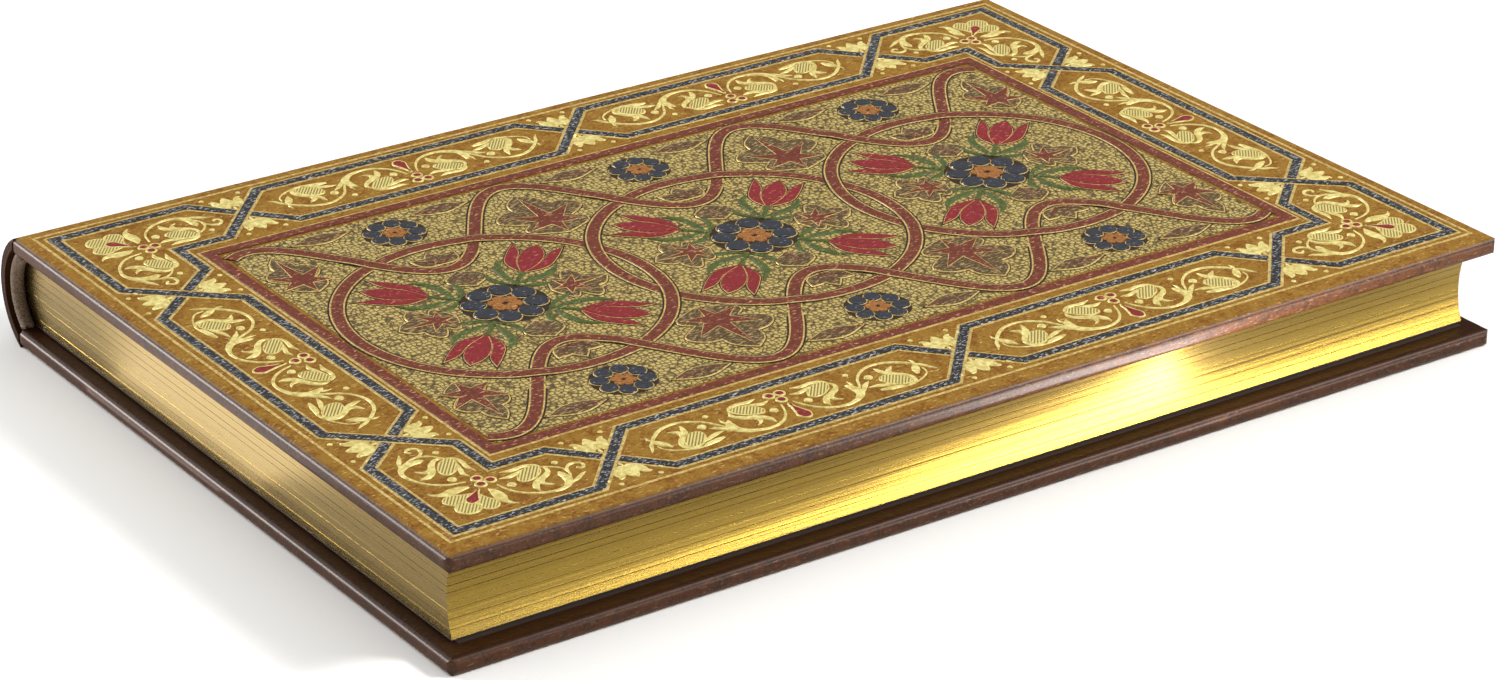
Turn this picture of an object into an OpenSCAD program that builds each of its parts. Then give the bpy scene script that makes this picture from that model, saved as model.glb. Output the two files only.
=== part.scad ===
// Casebound pocket journal: gilt-edged text block in a decorated hard case.
// The journal lies on its back cover. +X points to the fore-edge, +Y to the head, +Z up.

/* [Covers] */
// Width of a cover, from its hinge to the fore-edge
cover_w = 95; // [85:0.5:130]
// Height of the covers, tail to head
cover_l = 140; // [128:1:210]
// Thickness of the greyboard inside each cover
board_t = 1.65; // [1.2:0.05:3]
// Thickness of the leather-look covering
covering_t = 0.25; // [0.15:0.05:0.4]
// Radius on the edges of a covered board
edge_r = 0.8; // [0.5:0.05:1]
// Radius of a cover's two outer corners, seen from above
corner_r = 1; // [0.6:0.1:4]
// Width of covering that is turned in over the board's inner face
turn_in = 12; // [8:0.5:18]
// Bare strip between a pastedown and the cover's edge
pastedown_margin = 2.5; // [1.5:0.1:5]

/* [Text block] */
// Thickness of the sewn pages
pages_t = 8.6; // [6:0.1:30]
// Thickness of an endpaper leaf
paper_t = 0.15; // [0.1:0.01:0.25]
// How far the covers stand past the pages at the fore-edge
fore_square = 3; // [2:0.1:5]
// How far the covers stand past the pages at head and tail
end_square = 2; // [1.8:0.1:4]
// Depth of the hollow in the fore-edge
fore_hollow = 0.8; // [0.3:0.1:1.5]
// Gap between a closed cover and the leaf under it
cover_gap = 0.05; // [0.03:0.01:0.3]

/* [Spine] */
// How far the round spine stands out behind the hinges
spine_bulge = 4; // [3:0.1:5]
// Thickness of the card inlay in the spine
inlay_t = 0.5; // [0.3:0.05:1]
// Clearance between the inlay and each cover's board
inlay_gap = 0.4; // [0.3:0.05:1]
// Hollow between the turned-in spine and the lined back of the pages
hollow_gap = 0.1; // [0.05:0.01:0.3]
// Thickness of the gauze glued to the back of the pages
mull_t = 0.15; // [0.1:0.01:0.25]
// Thickness of the kraft lining over the gauze
lining_t = 0.15; // [0.1:0.01:0.3]
// Depth of the covering turned in at the spine's head and tail
spine_turn_in = 8; // [5:0.5:12]
// Diameter of the bead of a headband
bead_d = 1.6; // [1:0.1:1.65]
// Height of the tape that holds a headband to the pages
tape_l = 6; // [4:0.5:9]

/* [Border] */
// Bare margin between the spine side and the outer strap
border_spine = 2.5; // [2.3:0.1:5]
// Bare margin between the fore-edge and the outer strap
border_fore = 3.7; // [2.5:0.1:6]
// Bare margin between head or tail and the outer strap
border_end = 3; // [2.5:0.1:6]
// Width of the interlaced border, over both straps
band_w = 11.5; // [10.5:0.1:13]
// Width of a dark strap
strap_w = 1.1; // [0.8:0.05:1.4]
// Width of the gold line on each side of a dark strap
line_w = 0.35; // [0.25:0.05:0.4]
// Distance of the outermost gold line from the outer strap
outline_gap = 1.1; // [0.8:0.1:1.4]
// Distance of the first knot from the border's corner
knot_in = 22.2; // [20:0.1:24]
// Half the length over which the two straps change places
knot_half = 4.65; // [4:0.05:6]

/* [Centre panel] */
// Gap between the border and the centre panel at head and tail
panel_gap_end = 1; // [0.8:0.1:6]
// Gap between the border and the centre panel at its sides
panel_gap_side = 1.9; // [0.8:0.1:6]
// Width of the frame around the panel
frame_w = 1.9; // [1.4:0.1:3]
// Width of the interlaced straps inside the panel
lace_w = 1.5; // [1:0.1:2]
// How far neighbouring rings overlap
ring_overlap = 3.4; // [3:0.1:5]
// Distance of the wave's trough from the panel's middle line
wave_low = 11.5; // [10:0.1:13]

/* [Relief] */
// Thickness of the gold foil fields
foil_t = 0.05; // [0.03:0.01:0.1]
// Height of the embossed shapes
relief_t = 0.1; // [0.05:0.01:0.2]

/* [Hidden] */
$fn = 48;
eps = 0.5; // how far a cutting shape runs past what it cuts

// Heights, from the table up
skin_t = board_t + 2 * covering_t; // a covered board without its pastedown
cover_t = skin_t + paper_t;
leaf_gap = cover_gap + paper_t; // from a cover's inner face to the pages
body_t = 2 * (cover_t + leaf_gap) + pages_t; // over both covers, without the relief
mid_z = body_t / 2;
half_l = cover_l / 2;
pages_half_l = half_l - end_square;
pages_fore = cover_w - fore_square;

// The round spine: every layer shares one centre line
spine_r = (mid_z * mid_z + spine_bulge * spine_bulge) / (2 * spine_bulge);
spine_x = spine_r - spine_bulge;
inlay_r = spine_r - covering_t;
shell_r = inlay_r - inlay_t - covering_t; // inside of the turned-in spine
lining_r = shell_r - hollow_gap;
mull_r = lining_r - lining_t;
pages_r = mull_r - mull_t;
bead_gap = 0.05; // between the bead and what it lies against
bead_r = shell_r - bead_gap - bead_d / 2;
bead_y = pages_half_l + bead_gap + bead_d / 2;
tape_end = pages_half_l - tape_l;
tape_clear = 0.1; // between the tape and the gauze and lining
shift_x = (spine_bulge - cover_w) / 2; // puts the origin under the middle of the journal

// The border's rectangle is centred on this point, in widths from the hinge and from the middle
border_cx = (border_spine + cover_w - border_fore) / 2;
border_hx = (cover_w - border_spine - border_fore) / 2 - strap_w / 2;
border_hy = half_l - border_end - strap_w / 2;
reach = band_w - strap_w; // from the outer strap's middle to the inner one's
mid_band = reach / 2;
long_knots = 3;
short_knots = 2;
knot_from_corner = knot_in - strap_w / 2;
long_pitch = (2 * border_hy - 2 * knot_from_corner) / (long_knots - 1);
short_pitch = (2 * border_hx - 2 * knot_from_corner) / (short_knots - 1);

// The centre panel
panel_hx = border_hx + strap_w / 2 - band_w - panel_gap_side;
panel_hy = border_hy + strap_w / 2 - band_w - panel_gap_end;
inner_hx = panel_hx - frame_w;
inner_hy = panel_hy - frame_w;
rings = 3;
ring_pitch = (2 * inner_hy - lace_w - ring_overlap) / rings;
ring_r = (ring_pitch + ring_overlap) / 2;
wave_high = inner_hx - lace_w / 2;
wave_mid = (wave_high + wave_low) / 2;
wave_amp = (wave_high - wave_low) / 2;
link_x = sqrt(ring_r * ring_r - ring_pitch * ring_pitch / 4); // where neighbouring rings cross
lace_gap = 0.25; // groove that shows which lace passes under
big_rosette = ring_r * 0.27;
side_room = inner_hx - ring_r; // between a ring and the frame
small_rosette = side_room * 0.345;
rosette_x = ring_r + side_room / 2;
cell_room = mid_band - strap_w; // from the middle of the border to the straps, with some air

// Flat shapes, drawn pointing along +X
function petal(len, wid, belly = 1, n = 3) = concat(
    [for (i = [0 : n]) [len * i / n, wid / 2 * sin(180 * pow(i / n, belly))]],
    [for (i = [n - 1 : -1 : 1]) [len * i / n, -wid / 2 * sin(180 * pow(i / n, belly))]]
);
function arc(r, a0, a1, n) = [for (i = [0 : n]) let (a = a0 + (a1 - a0) * i / n) [r * cos(a), r * sin(a)]];
function backwards(p) = [for (i = [len(p) - 1 : -1 : 0]) p[i]];
function unit(v) = v / norm(v);
function left_of(v) = [-v[1], v[0]];
// A closed outline moved sideways by d, with mitred corners
function beside(p, d) = [
    for (i = [0 : len(p) - 1])
        let (
            a = unit(p[i] - p[(i + len(p) - 1) % len(p)]),
            b = unit(p[(i + 1) % len(p)] - p[i]),
            na = left_of(a),
            nb = left_of(b)
        )
        p[i] + d * (na + nb) / (1 + na * nb)
];
// A band of width w along an open line, with square ends
function band(p, w) = let (
    last = len(p) - 1,
    first_side = left_of(unit(p[1] - p[0])),
    last_side = left_of(unit(p[last] - p[last - 1])),
    inner = [for (i = [1 : last - 1]) i],
    left = [for (i = inner) beside(p, w / 2)[i]],
    right = [for (i = inner) beside(p, -w / 2)[i]]
) concat(
    [p[0] + first_side * w / 2], left, [p[last] + last_side * w / 2],
    [p[last] - last_side * w / 2], backwards(right), [p[0] - first_side * w / 2]
);
function wave(y) = wave_mid - wave_amp * cos(360 * y / ring_pitch);
function wave_slope(y) = wave_amp * 2 * PI / ring_pitch * sin(360 * y / ring_pitch);
function ring_x(y) = sqrt(ring_r * ring_r - y * y);
// Where a wave crosses a ring, found by halving the stretch between lo and hi
function meet(lo, hi, n) = n == 0 ? lo : let (m = (lo + hi) / 2)
    ring_x(m) > wave(m) ? meet(m, hi, n - 1) : meet(lo, m, n - 1);
cross_y = meet(0, ring_pitch / 2, 16);
// Half the outline of a lobed leaf, from its stalk to its tip, in parts of its length and half-width
lobes = [
    [0, 0], [0.06, 0.5], [0.24, 0.74], [0.32, 0.5], [0.48, 1], [0.64, 0.86], [0.67, 0.46], [0.84, 0.42], [1, 0]
];
function lobed(long, wid) = concat(
    [for (p = lobes) [long * p[0], wid / 2 * p[1]]],
    [for (i = [len(lobes) - 2 : -1 : 1]) [long * lobes[i][0], -wid / 2 * lobes[i][1]]]
);
// A bud with a three-pointed crown
function bud(len, wid) = [
    [0, 0], [len * 0.2, -wid * 0.24], [len * 0.5, -wid * 0.5], [len * 0.74, -wid * 0.36],
    [len * 0.98, -wid * 0.5], [len * 0.87, -wid * 0.16], [len, 0], [len * 0.87, wid * 0.16],
    [len * 0.98, wid * 0.5], [len * 0.74, wid * 0.36], [len * 0.5, wid * 0.5], [len * 0.2, wid * 0.24]
];

// Solids

module slice(x0, x1, hl, z0, z1, r) {
    // Plate with round edges at the fore-edge, head and tail, and round outer corners
    intersection() {
        rotate([90, 0, 0]) linear_extrude(height = 2 * hl + 2, center = true) {
            translate([x0, z0]) square([x1 - r - x0, z1 - z0]);
            translate([x1 - 2 * r, z0 + r]) square([2 * r, z1 - z0 - 2 * r]);
            for (z = [z0 + r, z1 - r]) translate([x1 - r, z]) circle(r);
        }
        translate([x0 - 1, 0, 0]) rotate([90, 0, 90]) linear_extrude(height = x1 - x0 + 2) {
            translate([r - hl, z0]) square([2 * hl - 2 * r, z1 - z0]);
            translate([-hl, z0 + r]) square([2 * hl, z1 - z0 - 2 * r]);
            for (y = [r - hl, hl - r], z = [z0 + r, z1 - r]) translate([y, z]) circle(r);
        }
        translate([0, 0, z0 - 1]) linear_extrude(height = z1 - z0 + 2) {
            translate([x0, -hl]) square([x1 - corner_r - x0, 2 * hl]);
            translate([x0, corner_r - hl]) square([x1 - x0, 2 * hl - 2 * corner_r]);
            for (y = [corner_r - hl, hl - corner_r]) translate([x1 - corner_r, y]) circle(corner_r);
        }
    }
}

module board_solid(x0) {
    // A board with its inner face down, its outer covering's face at skin_t
    slice(x0, cover_w - covering_t, half_l - covering_t, covering_t, covering_t + board_t,
        edge_r - covering_t);
}

module cover_skin() {
    difference() {
        slice(0, cover_w, half_l, 0, skin_t, edge_r);
        board_solid(-eps);
        translate([-eps, turn_in - half_l, -eps])
            cube([cover_w - turn_in + eps, 2 * (half_l - turn_in), covering_t + 2 * eps]);
    }
}

module pastedown() {
    // The paper sinks onto the board inside the turned-in covering
    rim_x = cover_w - pastedown_margin;
    rim_y = half_l - pastedown_margin;
    well_x = cover_w - turn_in;
    well_y = half_l - turn_in;
    difference() {
        union() {
            translate([0, -rim_y, 0]) cube([rim_x, 2 * rim_y, paper_t]);
            translate([0, -well_y, 0]) cube([well_x, 2 * well_y, paper_t + covering_t]);
        }
        translate([-eps, paper_t - well_y, -eps])
            cube([well_x - paper_t + eps, 2 * (well_y - paper_t), covering_t + eps]);
    }
}

module in_front() {
    // The front cover, inner face down
    translate([shift_x, 0, body_t - cover_t]) children();
}

module in_back() {
    // The back cover, inner face up
    translate([shift_x, 0, cover_t]) mirror([0, 0, 1]) children();
}

module around_spine(y0, y1) {
    // Extrudes a flat shape, drawn around the spine's centre, from y0 to y1
    translate([shift_x + spine_x, y1, mid_z]) rotate([90, 0, 0])
        linear_extrude(height = y1 - y0) children();
}

module spine_layer(r_out, r_in, x_end) {
    // The part of a round layer that lies behind x_end, measured from the hinges
    intersection() {
        difference() {
            circle(r_out);
            circle(r_in);
        }
        translate([-2 * spine_r, -2 * spine_r]) square([2 * spine_r - spine_x + x_end, 4 * spine_r]);
    }
}

module back_layer(r_out, r_in, hl) {
    // A layer glued to the back of the pages
    around_spine(-hl, hl) intersection() {
        difference() {
            circle(r_out);
            circle(r_in);
        }
        translate([-2 * spine_r, -pages_t / 2]) square([2 * spine_r, pages_t]);
    }
}

module text_block() {
    land = 0.2; // flat strip above and below the fore-edge's hollow
    hollow_h = pages_t / 2 - land;
    hollow_r = (hollow_h * hollow_h + fore_hollow * fore_hollow) / (2 * fore_hollow);
    fore_x = pages_fore - spine_x;
    color("goldenrod") around_spine(-pages_half_l, pages_half_l) difference() {
        translate([-spine_r, -pages_t / 2]) square([spine_r + fore_x, pages_t]);
        difference() {
            translate([-2 * spine_r, -spine_r]) square([2 * spine_r, 2 * spine_r]);
            circle(pages_r);
        }
        translate([fore_x - fore_hollow + hollow_r, 0]) circle(hollow_r, $fn = 96);
    }
}

module flyleaf(z) {
    back_x = spine_x - sqrt(pages_r * pages_r - pages_t * pages_t / 4);
    color([0.18, 0.12, 0.09]) translate([shift_x + back_x, -pages_half_l, z])
        cube([pages_fore - back_x, 2 * pages_half_l, paper_t]);
}

module front_flyleaf() {
    flyleaf(mid_z + pages_t / 2);
}

module back_flyleaf() {
    flyleaf(mid_z - pages_t / 2 - paper_t);
}

module mull() {
    color("linen") back_layer(mull_r, pages_r, tape_end - tape_clear);
}

module spine_lining() {
    color("burlywood") back_layer(lining_r, mull_r, tape_end - tape_clear);
}

module end_band(side) {
    // Braided bead over the end of the pages, on a tape glued to their back
    tape_r = (lining_r + mull_r) / 2;
    color("rosybrown") translate([shift_x + spine_x, 0, mid_z]) intersection() {
        rotate([-90 * side, 0, 0]) rotate_extrude() {
            translate([bead_r, bead_y]) circle(bead_d / 2, $fn = 24);
            translate([pages_r, tape_end]) square([tape_r - pages_r, bead_y - tape_end]);
        }
        translate([-2 * spine_r, -cover_l, -pages_t / 2]) cube([2 * spine_r, 2 * cover_l, pages_t]);
    }
}

module headband() {
    end_band(1);
}

module tailband() {
    end_band(-1);
}

module spine_inlay() {
    inlay_hl = half_l - covering_t;
    color("tan") around_spine(-inlay_hl, inlay_hl) spine_layer(inlay_r, inlay_r - inlay_t, -inlay_gap);
}

module spine_covering() {
    color("saddlebrown") {
        around_spine(-half_l, half_l) spine_layer(spine_r, inlay_r, 0);
        for (side = [0, 1]) mirror([0, side, 0]) {
            around_spine(half_l - covering_t, half_l) spine_layer(inlay_r, shell_r, -inlay_gap);
            around_spine(half_l - spine_turn_in, half_l)
                spine_layer(inlay_r - inlay_t, shell_r, -inlay_gap);
        }
    }
}

module front_board() {
    color("darkgray") in_front() translate([0, 0, paper_t]) board_solid(0);
}

module front_covering() {
    color("peru") in_front() translate([0, 0, paper_t]) cover_skin();
}

module front_pastedown() {
    color([0.18, 0.12, 0.09]) in_front() pastedown();
}

module back_board() {
    color("darkgray") in_back() translate([0, 0, paper_t]) board_solid(0);
}

module back_covering() {
    color("peru") in_back() translate([0, 0, paper_t]) cover_skin();
}

module back_pastedown() {
    color([0.18, 0.12, 0.09]) in_back() pastedown();
}

// Decoration on the front cover

module on_front(z, t) {
    // Raises a flat drawing, centred on the border, above the front covering
    translate([shift_x + border_cx, 0, body_t + z]) linear_extrude(height = t) children();
}

module place(x, y, turn = 0) {
    translate([x, y]) rotate(turn) children();
}

module four_ways() {
    for (sx = [0, 1], sy = [0, 1]) mirror([sx, 0]) mirror([0, sy]) children();
}

module frame_line(hx, hy, w) {
    difference() {
        square([2 * hx + w, 2 * hy + w], center = true);
        square([2 * hx - w, 2 * hy - w], center = true);
    }
}

// One side of the border, from corner to corner: n knots at a given pitch, starting on the
// outer strap (on = 1) or the inner one (on = 0). Points are [along, inwards].
function side_run(n, pitch, on) = [
    for (k = [0 : n - 1])
        let (s = (k - (n - 1) / 2) * pitch)
        for (e = [-1, 1])
            let (outer = (k + (e < 0 ? 0 : 1)) % 2 == 0 ? on : 1 - on)
            [s + e * knot_half, outer == 1 ? 0 : reach]
];
// The strap that starts on the outer rectangle at the tail, spine side, runs once around
function strap_loop(on) = concat(
    [[-border_hx + (1 - on) * reach, -border_hy + (1 - on) * reach]],
    [for (p = side_run(short_knots, short_pitch, on)) [p[0], -border_hy + p[1]]],
    [[border_hx - (1 - on) * reach, -border_hy + (1 - on) * reach]],
    [for (p = side_run(long_knots, long_pitch, on)) [border_hx - p[1], p[0]]],
    [[border_hx - on * reach, border_hy - on * reach]],
    [for (p = side_run(short_knots, short_pitch, 1 - on)) [-p[0], border_hy - p[1]]],
    [[-border_hx + on * reach, border_hy - on * reach]],
    [for (p = side_run(long_knots, long_pitch, 1 - on)) [-border_hx + p[1], -p[0]]]
);

module strap_pair(w) {
    for (on = [0, 1]) {
        loop = strap_loop(on);
        outside = beside(loop, -w / 2);
        inside = beside(loop, w / 2);
        n = len(loop);
        polygon(concat(outside, inside), [[for (i = [0 : n - 1]) i], [for (i = [0 : n - 1]) n + i]]);
    }
}

module along_sides(n, m) {
    // Children are drawn at n places on each long side and m on each short one, with the border
    // running along +X and its inside at +Y
    for (half = [0, 180], k = [0 : n - 1])
        rotate(half) place(border_hx - mid_band, (k - (n - 1) / 2) * long_pitch, 90) children();
    for (half = [0, 180], k = [0 : m - 1])
        rotate(half) place((k - (m - 1) / 2) * short_pitch, mid_band - border_hy) children();
}

module at_knots() {
    along_sides(long_knots, short_knots) children();
}

module at_cells() {
    along_sides(long_knots - 1, short_knots - 1) children();
}

module at_corners() {
    // Children are drawn around the middle of each corner cell, its corner towards +X and +Y
    four_ways() place(border_hx - mid_band, border_hy - mid_band) children();
}

module border_gilding() {
    color("khaki") on_front(0, foil_t) {
        strap_pair(strap_w + 2 * line_w);
        frame_line(border_hx + strap_w / 2 + outline_gap, border_hy + strap_w / 2 + outline_gap, line_w);
        frame_line(panel_hx + line_w / 2, panel_hy + line_w / 2, line_w);
    }
}

// Each strap passes under the other where it comes out from the inner rectangle to the outer one
function depth(p) = min(border_hx - abs(p[0]), border_hy - abs(p[1]));
function unders(loop) = [
    for (i = [0 : len(loop) - 1]) if (depth(loop[i]) > depth(loop[(i + 1) % len(loop)]) + reach / 2) i
];
// The stretch of a strap from one place where it passes under to the next
function strand(loop, from, to) = let (
    n = len(loop),
    stop = to > from ? to : to + n,
    a = loop[from % n],
    b = loop[(from + 1) % n],
    c = loop[to % n],
    d = loop[(to + 1) % n]
) concat(
    [(a + b) / 2 + unit(b - a) * knot_clear],
    [for (k = [from + 1 : stop]) loop[k % n]],
    [(c + d) / 2 - unit(d - c) * knot_clear]
);
knot_clear = strap_w / 2 + line_w + 0.07; // from a knot's middle to the end of the strap under it

module border_straps() {
    color("midnightblue") on_front(foil_t, relief_t) for (on = [0, 1]) {
        loop = strap_loop(on);
        at = unders(loop);
        for (k = [0 : len(at) - 1]) polygon(band(strand(loop, at[k], at[(k + 1) % len(at)]), strap_w));
    }
}

// Gold scroll ornament: a round stem that ends in an open flower
curl_r = mid_band * 0.6;
stem_w = mid_band * 0.077;
curl_steps = 5;
leaf_air = 0.3; // from a leaf's tip to the gold lines at the knot

module curl(dir) {
    // dir is 1 or -1, the way that the stem turns
    stem_out = arc(curl_r + stem_w / 2, 0, dir * 270, curl_steps);
    stem_in = arc(curl_r - stem_w / 2, 0, dir * 270, curl_steps);
    polygon(concat(stem_out, backwards(stem_in)));
    place(curl_r * 0.2, dir * curl_r * -0.62, dir * 115) open_flower(curl_r * 1.1, curl_r * 0.42);
}

module open_flower(len, half_w) {
    polygon([
        [0, 0], [len * 0.3, -half_w * 0.75], [len * 0.86, -half_w], [len * 0.64, -half_w * 0.25],
        [len, 0], [len * 0.64, half_w * 0.25], [len * 0.86, half_w], [len * 0.3, half_w * 0.75]
    ]);
}

module border_scrolls() {
    cell_half = min(long_pitch, short_pitch) / 2; // from a cell's middle to the knot at its end
    near_curl = cell_half * 0.33;
    far_curl = cell_half * 0.604;
    end_leaf = cell_half * 0.787;
    end_leaf_l = cell_half - knot_clear * norm([knot_half, mid_band]) / mid_band - leaf_air - end_leaf;
    corner_curl = 2.2 * curl_r;
    corner_shift = mid_band * 0.04;
    knot_bud = 0.33 * mid_band;
    color("palegoldenrod") on_front(0, relief_t) {
        at_cells() for (m = [0, 1]) mirror([m, 0]) {
            place(near_curl, 0) curl(1);
            place(far_curl, 0, 180) curl(1);
            place(end_leaf, 0) polygon(petal(end_leaf_l, end_leaf_l * 0.45));
            for (e = [-1, 1]) place(curl_r * 0.45, -e * mid_band / 2, e * 40)
                polygon(petal(curl_r * 0.9, curl_r * 0.35, n = 2));
        }
        at_corners() {
            place(corner_shift, -corner_curl, 90) curl(1);
            place(-corner_curl, corner_shift, 0) curl(-1);
            for (a = [-40, -20, 20, 40]) rotate(45 + a) translate([mid_band * 0.154, 0])
                polygon(petal(cell_room * cos(a), mid_band * 0.21, 1.3));
        }
        at_knots() for (e = [-1, 1])
            place(0, e * knot_half * 0.54, e * 90) polygon(petal(knot_bud, knot_bud * 0.6, 1.4));
    }
}

module berries(turn) {
    berry_r = mid_band * 0.087;
    rotate(turn) {
        circle(berry_r, $fn = 5);
        for (e = [-1, 1]) translate([2 * berry_r, e * 1.25 * berry_r]) circle(berry_r, $fn = 5);
    }
}

module border_berries() {
    color("firebrick") on_front(0, relief_t) {
        at_cells() {
            berries(90);
            place(0, -mid_band * 0.2, -90) polygon(petal(mid_band * 0.48, mid_band * 0.19, 0.7));
        }
        at_corners() {
            rotate(45) translate([mid_band * 0.17, 0]) polygon(petal(cell_room, mid_band * 0.21, 1.4));
            rotate(225) translate([mid_band * 0.1, 0]) berries(0);
        }
    }
}

module panel_ground() {
    color("darkkhaki") on_front(0, foil_t) square([2 * inner_hx, 2 * inner_hy], center = true);
}

module ring_line(w) {
    difference() {
        circle(ring_r + w / 2, $fn = 40);
        circle(ring_r - w / 2, $fn = 40);
    }
}

wave_steps = 33;
function wave_edge(d) = [
    for (i = [0 : wave_steps])
        let (y = inner_hy * (2 * i / wave_steps - 1), s = wave_slope(y), h = sqrt(1 + s * s))
        [wave(y) + d / h, y - d * s / h]
];

module wave_line(w) {
    intersection() {
        polygon(concat(wave_edge(w / 2), backwards(wave_edge(-w / 2))));
        square([2 * inner_hx, 2 * inner_hy], center = true);
    }
}

module at_rings() {
    for (k = [0 : rings - 1]) place(0, (k - (rings - 1) / 2) * ring_pitch) children();
}

module lace_groove(turn) {
    // Two grooves beside the lace that passes over, across the one under it
    rotate(turn) for (e = [-1, 1])
        translate([0, e * (lace_w + lace_gap) / 2]) square([2.4 * lace_w, lace_gap], center = true);
}

module laces() {
    difference() {
        union() {
            at_rings() ring_line(lace_w);
            for (m = [0, 1]) mirror([m, 0]) wave_line(lace_w);
        }
        at_rings() for (half = [0, 180]) rotate(half) {
            place(wave(cross_y), cross_y) lace_groove(atan2(1, wave_slope(cross_y)));
            place(wave(cross_y), -cross_y) lace_groove(90 - atan2(cross_y, wave(cross_y)));
        }
        for (k = [0 : rings - 2]) place(0, (k - (rings - 2) / 2) * ring_pitch) {
            place(link_x, 0) lace_groove(atan2(ring_pitch / 2, link_x) + 90);
            place(-link_x, 0) lace_groove(atan2(ring_pitch / 2, link_x) - 90);
        }
    }
}

module panel_laces() {
    color("brown") on_front(0, foil_t + relief_t)
        frame_line(panel_hx - frame_w / 2, panel_hy - frame_w / 2, frame_w);
    color("brown") on_front(foil_t, relief_t) laces();
}

module at_pockets() {
    // The spaces between neighbouring rings, pointing away from the middle line
    for (k = [0 : rings - 2], m = [0, 1])
        mirror([m, 0]) place(0, (k - (rings - 2) / 2) * ring_pitch) children();
}

module panel_leaves() {
    trough = wave_low + lace_w / 2;
    heart_room = wave_low - lace_w / 2 - big_rosette; // from the middle rosette to the waves
    cross_room = ring_pitch - ring_r - lace_w / 2 - big_rosette; // and to the next ring
    trefoil_room = ring_r - lace_w / 2 - trough; // between a wave's trough and the ring
    pocket_room = wave_high - link_x;
    side_leaf = small_rosette * 1.15; // where a side leaf starts, beside the small rosette
    side_leaf_end = ring_pitch * 0.347; // and where it ends, short of the wave
    corner_x = ring_r * 0.78;
    corner_room = wave_high - corner_x;
    color("darkolivegreen") on_front(foil_t, relief_t) {
        at_rings() {
            for (e = [0, 1]) mirror([0, e]) place(0, big_rosette + cross_room * 0.14, 90)
                polygon(lobed(cross_room * 0.77, cross_room * 0.83));
            for (e = [0, 1]) mirror([e, 0]) {
                place(big_rosette + heart_room * 0.16, 0)
                    polygon(petal(heart_room * 0.765, heart_room * 0.83));
                for (a = [-50, 0, 50]) place(trough + trefoil_room * 0.15, 0, a)
                    polygon(petal(trefoil_room * 0.68, trefoil_room * 0.41, n = 2));
            }
            four_ways() place(inner_hx - side_room * 0.207, side_leaf, 90)
                polygon(petal(side_leaf_end - side_leaf, side_room * 0.24));
        }
        at_pockets() place(link_x + pocket_room * 0.25, 0)
            polygon(lobed(pocket_room * 0.59, pocket_room * 0.537));
        four_ways() place(corner_x, inner_hy - ring_r * 0.21)
            polygon(lobed(corner_room * 0.764, ring_r * 0.34));
    }
}

// The buds stand on the rings' diagonals: stem, pair of leaves, flower
bud_from = ring_r * 0.45;
stem_from = ring_r * 0.29;

module panel_sprigs() {
    sprig_w = ring_r * 0.05;
    color("darkgreen") on_front(foil_t, relief_t) at_rings() four_ways() rotate(45) {
        translate([stem_from, -sprig_w / 2]) square([bud_from - stem_from - 0.1, sprig_w]);
        for (e = [0, 1]) mirror([0, e])
            place(ring_r * 0.35, sprig_w * 0.6, 40) polygon(petal(ring_r * 0.27, ring_r * 0.1, 0.8));
    }
}

module rosette(r) {
    petals = 8;
    for (k = [0 : petals - 1]) rotate(360 * (k + 0.5) / petals)
        translate([r * 0.46, 0]) polygon(petal(r * 0.54, r * 0.52, 1.5));
}

module panel_rosettes() {
    color("midnightblue") on_front(foil_t, relief_t) at_rings() {
        rosette(big_rosette);
        for (m = [0, 1]) mirror([m, 0]) place(rosette_x, 0) rosette(small_rosette);
    }
}

module panel_hearts() {
    color("peru") on_front(foil_t, relief_t) at_rings() {
        circle(big_rosette * 0.42, $fn = 12);
        for (m = [0, 1]) mirror([m, 0]) place(rosette_x, 0) circle(small_rosette * 0.42, $fn = 8);
    }
}

module panel_buds() {
    color("firebrick") on_front(foil_t, relief_t) at_rings() four_ways() rotate(45)
        translate([bud_from, 0]) polygon(bud(ring_r * 0.44, ring_r * 0.3));
}

text_block();
front_flyleaf();
back_flyleaf();
mull();
spine_lining();
headband();
tailband();
spine_inlay();
spine_covering();
front_board();
front_covering();
front_pastedown();
back_board();
back_covering();
back_pastedown();
border_gilding();
border_straps();
border_scrolls();
border_berries();
panel_ground();
panel_laces();
panel_leaves();
panel_sprigs();
panel_rosettes();
panel_buds();
panel_hearts();
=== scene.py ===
import math
import random

import bmesh
import bpy
from mathutils import Matrix, Vector


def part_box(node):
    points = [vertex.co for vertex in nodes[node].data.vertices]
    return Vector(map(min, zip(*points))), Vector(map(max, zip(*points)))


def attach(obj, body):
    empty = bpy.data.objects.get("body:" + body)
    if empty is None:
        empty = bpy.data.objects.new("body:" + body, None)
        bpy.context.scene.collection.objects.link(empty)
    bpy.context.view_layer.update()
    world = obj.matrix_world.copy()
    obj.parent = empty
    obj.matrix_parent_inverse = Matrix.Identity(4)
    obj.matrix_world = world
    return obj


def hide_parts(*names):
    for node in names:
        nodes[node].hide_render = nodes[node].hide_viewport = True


# Hardcover journal with gilt edges. Drawings are in millimetres, finished meshes in metres.
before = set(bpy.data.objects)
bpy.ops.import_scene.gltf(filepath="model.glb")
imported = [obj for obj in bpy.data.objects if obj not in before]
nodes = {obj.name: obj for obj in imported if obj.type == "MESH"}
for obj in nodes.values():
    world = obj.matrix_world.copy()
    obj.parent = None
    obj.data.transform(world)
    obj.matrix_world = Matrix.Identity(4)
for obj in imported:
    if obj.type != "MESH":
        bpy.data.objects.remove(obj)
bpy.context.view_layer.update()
mm = 0.001
print("journal: frame loaded")


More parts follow.
